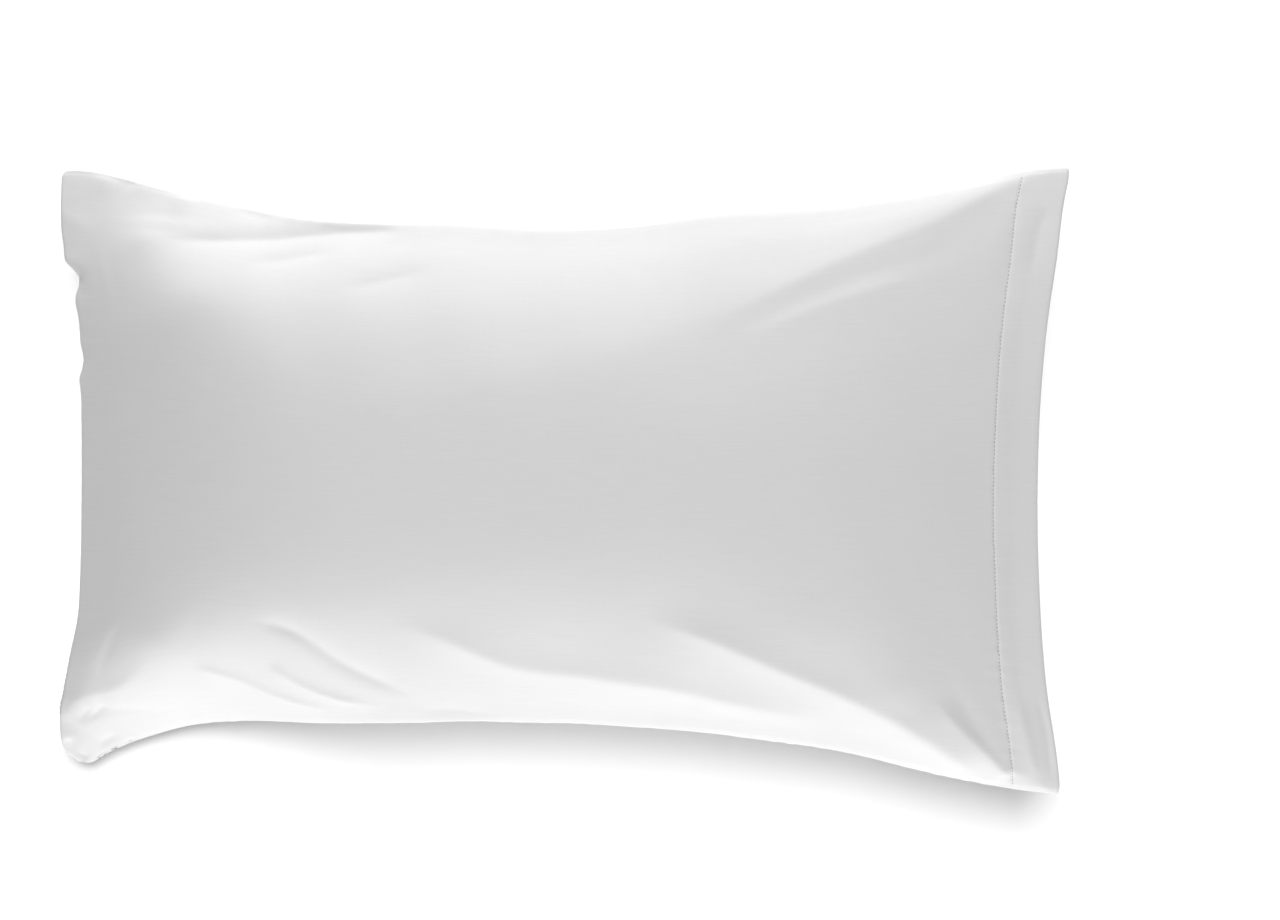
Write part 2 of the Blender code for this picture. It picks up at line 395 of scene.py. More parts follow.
def hem_flare(along, across):
    """How far the stiff hem of the face stands up from the slope, from its stitches to its lip."""
    up = ((along - HEM_SHARE) / (1 - HEM_SHARE)).clip(0)
    return HEM_FLARE * up * side_profile(across).clip(0) ** HEM_FLARE_POWER


def rest_on_floor(z):
    """Stops heights at the floor, rounding into it so that the flat patch has a soft border."""
    return np.where(z >= REST_SOFTNESS, z, (z + REST_SOFTNESS).clip(0) ** 2 / (4 * REST_SOFTNESS))


def seam_half(across):
    """Half of the thickness at an edge, closing to nothing at the side seams."""
    return SEAM_HALF_THICKNESS * side_profile(across).clip(0) ** EDGE_POWER


def face_of(along, across):
    """Points of the crowned face."""
    x, y = plan_of(along, across)
    rise = CROWN_RISE * fullness(along, across) + lip_height(along, across) + hem_flare(along, across)
    return np.stack([x, y, seam_height_at(along, across) + seam_half(across) + rise], -1)


def back_of(along, across):
    """Points of the back, flat where the case rests."""
    x, y = plan_of(along, across)
    drop = BACK_DROP * fullness(along, across) + lip_height(along, across)
    return np.stack([x, y, rest_on_floor(seam_height_at(along, across) - seam_half(across) - drop)], -1)


centre_face = face_of(middle, middle)[0]
print(f"the middle of the face is {centre_face[2]:.3f} m above the floor")

# %% [markdown]
# ## The open mouth
#
# The two lips of the hem stand a little apart, so one can look into the case. The filling starts a hand's
# breadth behind them. The pocket between is a second skin, which runs back from the lips and closes.

# %% The pocket behind the lips
POCKET_DEPTH = 0.050
POCKET_WIDTH_SHARE = 0.92
POCKET_END_SHARE = 0.30  # what is left of the gap at the pocket's end
POCKET_END_POWER = 4
LIP_EDGE_SHARE = 0.25  # of the thickness of the seam, added to each half of the gap


def pocket_of(depth_share, across, side):
    """Points inside the mouth. side is 1 on the upper lip and -1 on the lower one."""
    inner = 0.5 + (across - 0.5) * POCKET_WIDTH_SHARE
    depth = POCKET_DEPTH * depth_share
    x, y = plan_of(np.ones_like(inner), inner)
    left = POCKET_END_SHARE + (1 - POCKET_END_SHARE) * (1 - depth_share**POCKET_END_POWER) ** 0.5
    half = mouth_half_gap(across) * left + LIP_EDGE_SHARE * SEAM_HALF_THICKNESS
    flare = (hem_flare(1 - depth / LENGTH, inner)).clip(0) * (side > 0)
    z = seam_height_at(1 - depth / LENGTH, inner) + side * half + flare
    return np.stack([x - depth, y, z], -1)


print(f"the mouth is {1000 * MOUTH_GAP:.0f} mm wide at its middle, and {1000 * POCKET_DEPTH:.0f} mm deep")

# %% [markdown]
# ## One skin of quads
#
# The face, the back and the pocket are one closed skin, made of cross sections. Each runs over the face
# from one seam to the other and back underneath, so the whole skin is a grid of quads: rings along the
# case, and steps round each ring. A grid is easy to simulate and to subdivide. Extra rings lie on both
# sides of the stitch line, where the surface needs fine detail. Every vertex also keeps where it lies on
# the cloth, as three attributes that later steps and the weave read.

# %% Where the rings and steps lie
RINGS = 132
FACE_STEPS = 100
BACK_STEPS = 40
POCKET_RINGS = 9
END_CROWDING = 0.4
STITCH_RING_OFFSETS = (-4.2, -2.4, -1.1, 0.0, 1.1, 2.4, 4.2)  # mm from the stitch line, towards the lips
STITCH_RING_CLEARANCE = 0.72  # in shares of the run of those rings


def crowd_to_ends(count):
    """Shares from 0 to 1, closer together at both ends, where the form is steepest."""
    share = np.linspace(0, 1, count + 1)
    return (1 - END_CROWDING) * share + END_CROWDING * ease(share)


def ring_places():
    """Shares of the length for the rings: evenly crowded, and listed beside the stitch line."""
    fine = HEM_SHARE + np.array(STITCH_RING_OFFSETS) / (1000 * CASE_LENGTH)
    shares = crowd_to_ends(RINGS - 1)
    clear = np.abs(shares - HEM_SHARE) > (fine[-1] - fine[0]) * STITCH_RING_CLEARANCE
    return np.sort(np.concatenate([shares[clear], fine]))


print(f"{len(ring_places())} rings from the closed end to the lips, and {POCKET_RINGS} in the pocket")


# %% Loft the skin
def skin_sections():
    """(points, cloth places) of every cross section. A place is (along, across, side)."""
    over, under = 1 - crowd_to_ends(FACE_STEPS), crowd_to_ends(BACK_STEPS)[1:-1]
    across = np.concatenate([over, under])
    side = np.concatenate([np.ones_like(over), -np.ones_like(under)])
    side[[0, FACE_STEPS]] = 0
    points, places = [], []
    for along in ring_places():
        level = np.full_like(across, along)
        ring = np.where((side >= 0)[:, None], face_of(level, across), back_of(level, across))
        points.append(ring)
        places.append(np.stack([level, across, side], -1))
    for depth in np.linspace(0, 1, POCKET_RINGS):
        upper, lower = (pocket_of(np.full_like(across, depth), across, s) for s in (1, -1))
        points.append(np.where((side > -1)[:, None], upper, lower))
        places.append(np.stack([np.full_like(across, 1 + depth), across, side], -1))
    return np.array(points), np.array(places)


def fill_end(shape, first, steps):
    """Fills an end section, whose face has more steps than its back, with triangles."""
    ring = [shape.verts[first + k] for k in range(steps)]
    edges = [shape.edges.get((ring[k], ring[(k + 1) % steps])) for k in range(steps)]
    bmesh.ops.holes_fill(shape, edges=edges, sides=0)
    bmesh.ops.triangulate(shape, faces=[f for f in shape.faces if len(f.verts) > 4])


def skin_mesh(name, points, places):
    """A mesh from the cross sections, with both end sections filled."""
    rings, steps = points.shape[:2]
    ring, step = np.meshgrid(np.arange(rings - 1), np.arange(steps), indexing="ij")
    ahead = (step + 1) % steps
    here, there = ring * steps, (ring + 1) * steps
    quads = np.stack((here + step, there + step, there + ahead, here + ahead), -1)
    mesh = bpy.data.meshes.new(name)
    mesh.from_pydata(points.reshape(-1, 3).tolist(), [], quads.reshape(-1, 4).tolist())
    for column, label in enumerate(("along", "across", "side")):
        attribute = mesh.attributes.new(label, "FLOAT", "POINT")
        attribute.data.foreach_set("value", places[..., column].astype(np.float32).ravel())
    shape = bmesh.new()
    shape.from_mesh(mesh)
    shape.verts.ensure_lookup_table()
    fill_end(shape, 0, steps)
    fill_end(shape, (rings - 1) * steps, steps)
    bmesh.ops.recalc_face_normals(shape, faces=shape.faces)
    shape.to_mesh(mesh)
    shape.free()
    return mesh


points, places = skin_sections()
case = bpy.data.objects.new("filled_case", skin_mesh("filled_case", points, places))
bpy.context.scene.collection.objects.link(case)
print(f"{points.shape[0]} cross sections of {points.shape[1]} steps, {len(case.data.polygons)} faces")

# %% [markdown]
# ## The pressure of the filling
#
# A real case takes its small unevenness from the filling that presses it from inside, so a short cloth
# simulation does the same. The case is a closed skin with a pressure inside and no gravity. The seams, the
# lips, the pocket and the part that rests on the floor are held. The cloth beside the side seams is cut
# a little too long, as it is on a case that the filling draws in, so it puckers there by itself. The
# movement is capped, so that the form stays the one above.

# %% Press the skin from inside
PRESSURE = 4.0
PRESS_FRAMES = 20
MOST_MOVEMENT = 0.0018
SEAM_PIN_RUN = 0.045  # the cloth is free this far from a seam
PUCKER_RUN = 0.060  # the spare length reaches this far from a side seam
SPARE_LENGTH = 0.02
RESTING_HEIGHT = 0.012  # the back is held where it is lower than this
LEAST_WEIGHT = 0.001
# The cotton: its mass for a square metre, its stiffness to stretch, to shear and to bend.
CLOTH_MASS, STRETCH_STIFFNESS, SHEAR_STIFFNESS, BEND_STIFFNESS = 0.25, 25, 8, 0.6


def attribute_of(mesh, label):
    values = np.empty(len(mesh.vertices), np.float32)
    mesh.attributes[label].data.foreach_get("value", values)
    return values.astype(float)


def places_of(mesh):
    """The three attributes of every vertex: along, across and side."""
    return tuple(attribute_of(mesh, label) for label in ("along", "across", "side"))


def vectors_of(mesh, what):
    """Every vertex's place ("co") or its normal ("normal")."""
    values = np.empty(len(mesh.vertices) * 3, np.float32)
    mesh.vertices.foreach_get(what, values)
    return values.reshape(-1, 3).astype(float)


def weigh(thing, name, weights):
    """A vertex group with these weights."""
    group = thing.vertex_groups.new(name=name)
    for index in np.nonzero(weights > LEAST_WEIGHT)[0].tolist():
        group.add([index], float(weights[index]), "REPLACE")
    return group.name


def from_side_seam(across):
    """The distance from the nearer side seam, in metres."""
    return (0.5 - np.abs(across - 0.5)) * CASE_WIDTH


def hold_and_spare(mesh):
    """How firmly each vertex is held, and how much spare length it has, both from 0 to 1."""
    along, across, side = places_of(mesh)
    height = vectors_of(mesh, "co")[:, 2]
    from_side = from_side_seam(across)
    from_end = np.minimum(along, 1 - along).clip(0) * CASE_LENGTH
    held = np.maximum(1 - from_side / SEAM_PIN_RUN, 1 - from_end / SEAM_PIN_RUN).clip(0, 1) ** 2
    held = np.where((side < 0) & (height < RESTING_HEIGHT), 1.0, held)
    spare = beyond(from_side, PUCKER_RUN) * ease(from_end / PUCKER_RUN)
    return held, spare


def press(thing):
    """Runs the cloth simulation and returns where it takes every vertex."""
    held, spare = hold_and_spare(thing.data)
    cloth = thing.modifiers.new("pressed from inside", "CLOTH")
    settings = cloth.settings
    settings.quality = 4
    settings.mass = CLOTH_MASS
    settings.tension_stiffness = settings.compression_stiffness = STRETCH_STIFFNESS
    settings.shear_stiffness = SHEAR_STIFFNESS
    settings.bending_stiffness = BEND_STIFFNESS
    settings.use_pressure = True
    settings.uniform_pressure_force = PRESSURE
    settings.vertex_group_mass = weigh(thing, "held", held)
    settings.vertex_group_shrink = weigh(thing, "spare", spare)
    settings.shrink_min, settings.shrink_max = 0.0, -SPARE_LENGTH
    settings.effector_weights.gravity = 0
    cloth.collision_settings.use_collision = False
    cloth.point_cache.frame_start, cloth.point_cache.frame_end = 1, PRESS_FRAMES
    for moment in range(1, PRESS_FRAMES + 1):
        bpy.context.scene.frame_set(moment)
    pressed = thing.evaluated_get(bpy.context.evaluated_depsgraph_get()).to_mesh()
    moved = vectors_of(pressed, "co")
    thing.modifiers.clear()
    thing.vertex_groups.clear()
    bpy.context.scene.frame_set(1)
    return moved


started = time.time()
before = vectors_of(case.data, "co")
step = (press(case) - before) * (1 - hold_and_spare(case.data)[0])[:, None]
reach = np.linalg.norm(step, axis=1)
step *= (MOST_MOVEMENT * np.tanh(reach / MOST_MOVEMENT) / reach.clip(1e-9))[:, None]
case.data.vertices.foreach_set("co", (before + step).ravel())
case.data.update()
print(f"pressed in {time.time() - started:.0f} s: it wanted to move {1000 * reach.max():.1f} mm at most")

# %% [markdown]
# ## A finer skin
#
# Creases and stitches need a finer surface than the simulation does. One subdivision rounds the grid and
# makes four faces of each. It is applied now, so that every later step works on the vertices themselves.

# %% Subdivide once
case.modifiers.new("finer", "SUBSURF").levels = 1
depsgraph = bpy.context.evaluated_depsgraph_get()
coarse = case.data
case.data = bpy.data.meshes.new_from_object(case.evaluated_get(depsgraph), depsgraph=depsgraph)
case.modifiers.clear()
bpy.data.meshes.remove(coarse)
case.data.name = "filled_case"
case.data.shade_smooth()
print(f"{len(case.data.polygons)} faces")

# %% [markdown]
# ## The creases
#
# The filling draws the face from corner to corner, and the cloth answers with long soft creases. They
# are listed one by one. A crease is a route over the face and a cross section: a ridge, or a trough where
# its height is negative, steeper on one side than on the other, with a rounded top. It fades out at
# both ends. Left and right are as seen by someone who walks along the route.

# %% Crease shapes
Crease = namedtuple("Crease", "height left right round rise fall route")
ROUTE_FINENESS = 6  # places on the smooth route for each point of the table


def smooth_route(route):
    """A route of shares as places in metres, on a smooth curve through all of them."""
    turns = np.array(route) * (LENGTH, WIDTH)
    run = np.concatenate([[0], np.cumsum(np.hypot(*np.diff(turns, axis=0).T))])
    at = np.linspace(0, run[-1], ROUTE_FINENESS * len(turns))
    return np.stack([curve_through(np.stack([run, turns[:, k]], -1), at) for k in (0, 1)], -1)


def from_route(route, x, y):
    """For each place: its signed distance from the route, positive on the left, and its share of the way."""
    steps = np.diff(route, axis=0)
    lengths = np.hypot(*steps.T)
    gone = np.concatenate([[0], np.cumsum(lengths)])
    nearest, signed, share = np.full(x.shape, np.inf), np.zeros(x.shape), np.zeros(x.shape)
    for start, step, length, walked in zip(route, steps, lengths, gone):
        dx, dy = x - start[0], y - start[1]
        t = ((dx * step[0] + dy * step[1]) / length**2).clip(0, 1)
        aside = np.hypot(dx - t * step[0], dy - t * step[1])
        nearer = aside < nearest
        nearest = np.where(nearer, aside, nearest)
        signed = np.where(nearer, np.sign(step[0] * dy - step[1] * dx) * aside, signed)
        share = np.where(nearer, (walked + t * length) / gone[-1], share)
    return signed, share


def crease_height(crease, x, y):
    """How far one crease lifts each place of the face."""
    signed, share = from_route(smooth_route(crease.route), x, y)
    width = crease.right + (crease.left - crease.right) * ease(0.5 + 0.5 * signed / crease.round)
    across = np.exp(-(np.hypot(signed, crease.round) - crease.round) / width)
    return crease.height * across * ease(share / crease.rise) * ease((1 - share) / crease.fall)


# %% The creases of the upper half
# Heights, widths and roundings in metres, fades in shares of the route, routes in shares of the size.
UPPER_CREASES = (
    # the long hip that runs out to the upper corner of the mouth, and the hollow and the ridge below it
    Crease(0.0026, 0.026, 0.011, 0.0030, 0.40, 0.12,
           ((0.11, 0.22), (0.21, 0.30), (0.29, 0.36), (0.37, 0.415), (0.445, 0.48))),
    Crease(-0.0016, 0.012, 0.016, 0.0040, 0.35, 0.30,
           ((0.12, 0.195), (0.21, 0.265), (0.30, 0.325), (0.37, 0.365), (0.43, 0.425))),
    Crease(0.0014, 0.010, 0.012, 0.0025, 0.40, 0.40,
           ((0.16, 0.205), (0.23, 0.26), (0.30, 0.30), (0.37, 0.33))),
    # the trough under the upper seam, with its kink, and two fainter ones below
    Crease(-0.0040, 0.0055, 0.010, 0.0015, 0.25, 0.35,
           ((-0.40, 0.38), (-0.29, 0.388), (-0.20, 0.398), (-0.14, 0.39))),
    Crease(-0.0012, 0.0035, 0.0045, 0.0010, 0.30, 0.30,
           ((-0.21, 0.41), (-0.19, 0.405), (-0.16, 0.40))),
    Crease(-0.0020, 0.006, 0.009, 0.0015, 0.35, 0.35,
           ((-0.31, 0.34), (-0.26, 0.355), (-0.21, 0.37))),
    Crease(-0.0013, 0.005, 0.009, 0.0015, 0.35, 0.35,
           ((-0.22, 0.295), (-0.17, 0.315), (-0.12, 0.335))),
    # small hollows beside the seam and at the upper corner of the fold
    Crease(-0.0018, 0.006, 0.006, 0.0010, 0.35, 0.35,
           ((-0.325, 0.435), (-0.30, 0.43), (-0.28, 0.42))),
    Crease(-0.0018, 0.0035, 0.0050, 0.0010, 0.30, 0.30,
           ((-0.45, 0.495), (-0.435, 0.485), (-0.42, 0.47))),
    Crease(-0.0007, 0.004, 0.004, 0.0010, 0.30, 0.30,
           ((-0.01, 0.40), (0.05, 0.405), (0.105, 0.41))),
)

# %% The creases of the lower half
LOWER_CREASES = (
    # three short ones beside the lower corner of the fold
    Crease(0.0020, 0.0028, 0.0070, 0.0008, 0.15, 0.35,
           ((-0.36, -0.29), (-0.32, -0.31), (-0.28, -0.34), (-0.215, -0.37))),
    Crease(0.0022, 0.0028, 0.0060, 0.0008, 0.15, 0.40,
           ((-0.285, -0.285), (-0.265, -0.31), (-0.225, -0.34), (-0.17, -0.36))),
    Crease(-0.0029, 0.0075, 0.0038, 0.0010, 0.25, 0.30,
           ((-0.30, -0.215), (-0.265, -0.23), (-0.21, -0.29), (-0.14, -0.345))),
    # the longest, which starts high on the crown and runs down to the seam
    Crease(0.0044, 0.0125, 0.0120, 0.0036, 0.20, 0.30,
           ((-0.17, -0.22), (-0.12, -0.24), (-0.05, -0.285), (0.04, -0.305), (0.11, -0.325),
            (0.19, -0.355), (0.28, -0.385))),
    # two that run out to the lower corner of the mouth
    Crease(0.0054, 0.0115, 0.0130, 0.0036, 0.22, 0.12,
           ((0.07, -0.21), (0.14, -0.24), (0.21, -0.29), (0.30, -0.355), (0.36, -0.41), (0.415, -0.475))),
    Crease(0.0034, 0.0060, 0.0110, 0.0014, 0.25, 0.12,
           ((0.355, -0.335), (0.38, -0.38), (0.41, -0.425), (0.44, -0.475))),
    # the hip at the lower corner of the fold, its tucked edge and three small pulls
    Crease(0.0030, 0.0120, 0.0120, 0.0025, 0.15, 0.40,
           ((-0.50, -0.39), (-0.475, -0.345), (-0.44, -0.33), (-0.395, -0.275))),
    Crease(-0.0024, 0.0030, 0.0030, 0.0008, 0.20, 0.20,
           ((-0.495, -0.415), (-0.485, -0.445), (-0.475, -0.455))),
    Crease(-0.0018, 0.0030, 0.0040, 0.0008, 0.30, 0.30, ((-0.47, -0.385), (-0.46, -0.37), (-0.45, -0.355))),
    Crease(-0.0013, 0.0030, 0.0040, 0.0008, 0.30, 0.30, ((-0.48, -0.39), (-0.475, -0.375), (-0.465, -0.36))),
    Crease(-0.0016, 0.0030, 0.0030, 0.0008, 0.30, 0.30, ((-0.465, -0.43), (-0.455, -0.42), (-0.445, -0.41))),
    Crease(-0.0008, 0.0050, 0.0050, 0.0012, 0.30, 0.30, ((-0.145, -0.365), (-0.10, -0.365), (-0.06, -0.375))),
)

# %% The pulls in the hem
# Turned-in cloth is stiff, so the hem shows only faint bands, which run along it near both corners.
HEM_CREASES = (
    Crease(0.0018, 0.006, 0.006, 0.0015, 0.35, 0.20, ((0.44, -0.33), (0.45, -0.39), (0.465, -0.48))),
    Crease(-0.0010, 0.003, 0.003, 0.0010, 0.35, 0.20, ((0.46, -0.33), (0.47, -0.38), (0.48, -0.48))),
    Crease(-0.0016, 0.006, 0.008, 0.0015, 0.20, 0.40, ((0.475, 0.44), (0.465, 0.39), (0.455, 0.31))),
)
CREASES = UPPER_CREASES + LOWER_CREASES + HEM_CREASES
print(f"{len(CREASES)} creases, the highest {1000 * max(crease.height for crease in CREASES):.1f} mm")

# %% The puffs
# Where the slack cloth of a corner is full of air, it stands up in a small round puff.
Puff = namedtuple("Puff", "x y height reach")
PUFFS = (
    Puff(-0.452, 0.476, 0.0013, 0.018),
    Puff(-0.374, 0.446, 0.0015, 0.016),
    Puff(-0.478, 0.408, 0.0013, 0.020),
    Puff(-0.408, 0.386, 0.0018, 0.024),
    Puff(0.325, -0.33, 0.0018, 0.026),
)
PUFF_CORE = 0.6  # in shares of its reach, how far out a puff keeps a third of its height


def puff_height(puff, x, y):
    """How far one puff lifts each place of the face."""
    aside = np.hypot(x - puff.x * LENGTH, y - puff.y * WIDTH)
    return puff.height * np.exp(-((aside / (PUFF_CORE * puff.reach)) ** 2))


print(f"{len(PUFFS)} puffs")

# %% [markdown]
# ## Seams, hem and unevenness
#
# Beside its two seams, the cloth gathers into small puckers that no two times come alike, so they are
# sums of waves whose lengths and starts come from a seeded generator. The seam itself shows as a fine
# line just inside the edge, where the cloth turns over the seam allowance. The hem's stitches sink in a
# groove, and the hem stands a little above the cloth beside it, because it has a layer more under it.

# %% The unevenness and its sizes
PUCKER_HEIGHT = 0.00055
PUCKER_REACH = 0.016
PUCKER_LEAST, PUCKER_SWING = 0.55, 0.45  # their strength, and how much it varies along a seam
FOLD_PUCKER_SHARE = 0.7
FOLD_PUCKER_REACH = 0.035
EDGE_RUN = 0.003  # nothing rises closer to an edge than this
SEAM_LINE_INSET = 0.0034
SEAM_LINE_DEPTH = 0.0005
SEAM_LINE_WIDTH = 0.0011
SEAM_LINE_LEAST = 0.35  # what is left of it half way along
SWELL_HEIGHT = 0.0007
GROOVE_DEPTH = 0.0005
GROOVE_WIDTH = 0.0011
GROOVE_SWING = 0.35
PULL_HEIGHT = 0.00022
PULL_RUN = 0.007
HEM_STEP = 0.0002
HEM_STEP_RUN = 0.004
HEM_STEP_REACH = 0.030
HEM_END_RUN = 0.010
FACE_EDGE_RUN = 0.008  # creases fade out this close to a side seam
LIP_EDGE_RUN = 0.004
FLAT_HEIGHT = 0.004  # the back has no relief where it is lower than this

# An irregular wave: its shortest and longest length in metres, how far it slants, and its seed.
Wave = namedtuple("Wave", "shortest longest slant seed")
WAVE_COUNT = 7
# For each side seam, at 0 or 1 across the case: its gathers, and how their strength varies along it.
SEAM_GATHERS = (
    (0, Wave(0.011, 0.034, 0.35, 11), Wave(0.07, 0.20, 0, 31)),
    (1, Wave(0.011, 0.034, 0.35, 12), Wave(0.07, 0.20, 0, 32)),
)
FOLD_GATHERS = Wave(0.016, 0.050, 0.3, 31)
LONG_SWELL = Wave(0.07, 0.16, 0.4, 41)
CROSS_SWELL = Wave(0.06, 0.14, -0.3, 42)
GROOVE_WAVE = Wave(0.007, 0.022, 0, 51)
HEM_PULLS = Wave(0.008, 0.020, 0.2, 52)


def waves(wave, at, aside):
    """An irregular wave of about unit height along one measure, slanting with another, both in metres."""
    chance = np.random.default_rng(wave.seed)
    lengths = np.exp(chance.uniform(math.log(wave.shortest), math.log(wave.longest), WAVE_COUNT))
    starts = chance.uniform(0, 2 * math.pi, WAVE_COUNT)
    turns = 2 * math.pi * (at + wave.slant * aside)
    return sum(np.sin(turns / length + start) for length, start in zip(lengths, starts)) / WAVE_COUNT**0.5


# %% Wavy and puckered
def puckers(x, across):
    """Small gathers beside the two side seams, different on each."""
    lift = np.zeros_like(x)
    for seam, gathers, strength in SEAM_GATHERS:
        aside = np.abs(across - seam) * CASE_WIDTH
        strong = PUCKER_LEAST + PUCKER_SWING * waves(strength, x, aside)
        near = beyond(aside, PUCKER_REACH) * ease(aside / EDGE_RUN)
        lift += strong * waves(gathers, x, aside) * near
    return PUCKER_HEIGHT * lift


def end_puckers(y, along):
    """Fewer and softer gathers along the fold at the closed end."""
    inside = along * CASE_LENGTH
    near = beyond(inside, FOLD_PUCKER_REACH) * ease(inside / EDGE_RUN)
    return FOLD_PUCKER_SHARE * PUCKER_HEIGHT * waves(FOLD_GATHERS, y, inside) * near


def seam_line(along, across):
    """The fine line just inside each side seam, clearest near the corners."""
    near_corner = SEAM_LINE_LEAST + (1 - SEAM_LINE_LEAST) * ease((np.abs(2 * along - 1) - 0.55) / 0.35)
    across_line = (from_side_seam(across) - SEAM_LINE_INSET) / SEAM_LINE_WIDTH
    return -SEAM_LINE_DEPTH * near_corner * np.exp(-(across_line**2))


def swell(x, y):
    """A slight long unevenness of the filling."""
    return SWELL_HEIGHT * 0.5 * (waves(LONG_SWELL, x, y) + waves(CROSS_SWELL, y, x))


def hem_relief(y, along, across):
    """The groove of the stitches, the puckers beside it and the step up to the hem."""
    past = (along - HEM_SHARE) * CASE_LENGTH
    uneven = 1 + GROOVE_SWING * waves(GROOVE_WAVE, y, past)
    groove = -GROOVE_DEPTH * uneven * np.exp(-((past / GROOVE_WIDTH) ** 2))
    pull = PULL_HEIGHT * waves(HEM_PULLS, y, past) * np.exp(-np.abs(past) / PULL_RUN)
    step = HEM_STEP * ease(0.5 + past / HEM_STEP_RUN) * beyond(past.clip(0), HEM_STEP_REACH)
    return (groove + pull + step) * ease(from_side_seam(across) / HEM_END_RUN)


def relief(mesh):
    """How far every vertex moves along its normal."""
    along, across, side = places_of(mesh)
    x, y, z = vectors_of(mesh, "co").T
    lift = np.zeros_like(x)
    face = np.nonzero((side > 0) & (along <= 1))[0]
    fade = ease(from_side_seam(across[face]) / FACE_EDGE_RUN)
    fade *= ease((1 - along[face]) * CASE_LENGTH / LIP_EDGE_RUN)
    lift[face] += fade * sum(crease_height(crease, x[face], y[face]) for crease in CREASES)
    lift[face] += fade * sum(puff_height(puff, x[face], y[face]) for puff in PUFFS)
    outside = (along <= 1) & (np.abs(side) > 0)
    uneven = puckers(x, across) + end_puckers(y, along) + seam_line(along, across)
    uneven += swell(x, y) * ease(along / 0.05) * ease((1 - along) / 0.06)
    lift += np.where(outside, uneven + hem_relief(y, along, across), 0)
    return np.where((side < 0) & (z < FLAT_HEIGHT), 0, lift)


lift = relief(case.data)
spots = vectors_of(case.data, "co") + vectors_of(case.data, "normal") * lift[:, None]
spots[:, 2] = spots[:, 2].clip(0)
case.data.vertices.foreach_set("co", spots.ravel())
case.data.update()
print(f"the relief goes from {1000 * lift.min():.1f} to {1000 * lift.max():.1f} mm")

# %% [markdown]
# ## The hem's stitches
#
# One row of lockstitch holds the hem. A stitch is a short length of thread whose ends dip into the cloth,
# so it is thickest and highest in its middle. The row follows the groove over the face, and again over
# the back. All stitches are one mesh, since they are one thread.

# %% Sew the hem
STITCH_PITCH = 0.0031
STITCH_LENGTH = 0.0021
THREAD_RADIUS = 0.00030
THREAD_LIFT = 0.2  # the thread's centre above the groove, in shares of its radius
SLANT_SPREAD = 0.03
STITCH_SIDES = 6
# Along a stitch: share of its length from the middle, share of the radius, and dip in shares of the radius.
StitchRing = namedtuple("StitchRing", "at radius dip")
STITCH_RINGS = (
    StitchRing(-0.50, 0.45, 1.2),
    StitchRing(-0.38, 0.85, 0.5),
    StitchRing(-0.15, 1.00, 0.0),
    StitchRing(0.15, 1.00, 0.0),
    StitchRing(0.38, 0.85, 0.5),
    StitchRing(0.50, 0.45, 1.2),
)


def stitch_line(mesh, which):
    """Evenly spaced places on the stitch line with their directions and normals. which is 1 or -1."""
    along, across, side = places_of(mesh)
    on_line = np.nonzero((np.abs(along - HEM_SHARE) < 1e-5) & (side * which > 0.5))[0]
    on_line = on_line[np.argsort(across[on_line])]
    spots, normals = vectors_of(mesh, "co")[on_line], vectors_of(mesh, "normal")[on_line]
    run = np.concatenate([[0], np.cumsum(np.linalg.norm(np.diff(spots, axis=0), axis=1))])
    at = np.arange(1.5 * STITCH_PITCH, run[-1] - STITCH_PITCH, STITCH_PITCH)
    place = np.stack([np.interp(at, run, spots[:, k]) for k in range(3)], -1)
    normal = np.stack([np.interp(at, run, normals[:, k]) for k in range(3)], -1)
    normal /= np.linalg.norm(normal, axis=1)[:, None]
    ahead = np.gradient(place, axis=0)
    ahead /= np.linalg.norm(ahead, axis=1)[:, None]
    return place, ahead, normal


def sew(name, mesh):
    """One mesh of all the stitches on the face and on the back."""
    chance = np.random.default_rng(61)
    turn = 2 * math.pi * np.arange(STITCH_SIDES) / STITCH_SIDES
    vertices, faces = [], []
    for which in (1, -1):
        for place, ahead, normal in zip(*stitch_line(mesh, which)):
            first = len(vertices)
            aside = np.cross(ahead, normal)
            slant = aside * chance.normal(0, SLANT_SPREAD) + ahead
            for ring in STITCH_RINGS:
                rise = (THREAD_LIFT - ring.dip) * THREAD_RADIUS
                middle = place + slant * ring.at * STITCH_LENGTH + normal * rise
                radius = THREAD_RADIUS * ring.radius
                vertices += [tuple(middle + radius * (np.cos(t) * aside + np.sin(t) * normal)) for t in turn]
            for k in range(len(STITCH_RINGS) - 1):
                for j in range(STITCH_SIDES):
                    a = first + k * STITCH_SIDES + j
                    b = first + k * STITCH_SIDES + (j + 1) % STITCH_SIDES
                    faces.append((a, b, b + STITCH_SIDES, a + STITCH_SIDES))
            last = first + (len(STITCH_RINGS) - 1) * STITCH_SIDES
            faces.append(tuple(range(first + STITCH_SIDES - 1, first - 1, -1)))
            faces.append(tuple(range(last, last + STITCH_SIDES)))
    sewn = bpy.data.meshes.new(name)
    sewn.from_pydata(vertices, [], faces)
    shape = bmesh.new()
    shape.from_mesh(sewn)
    bmesh.ops.recalc_face_normals(shape, faces=shape.faces)
    shape.to_mesh(sewn)
    shape.free()
    sewn.shade_smooth()
    return sewn, len(vertices) // (STITCH_SIDES * len(STITCH_RINGS))


sewn, stitches = sew("hem_stitches", case.data)
thread = bpy.data.objects.new("hem_stitches", sewn)
bpy.context.scene.collection.objects.link(thread)
print(f"{stitches} stitches")

# %% [markdown]
# ## The cotton
#
# The cloth is a plain weave of fine cotton. Its threads are too thin to tell apart at this distance, so
# what shows is their unevenness: slubs, which are thicker lengths of thread. They run along the case, and
# fainter ones cross it. One node group makes them from a place on the cloth. The case's own attributes
# give that place, so the weave follows every fold. The sewing thread uses the same group at its own scale.

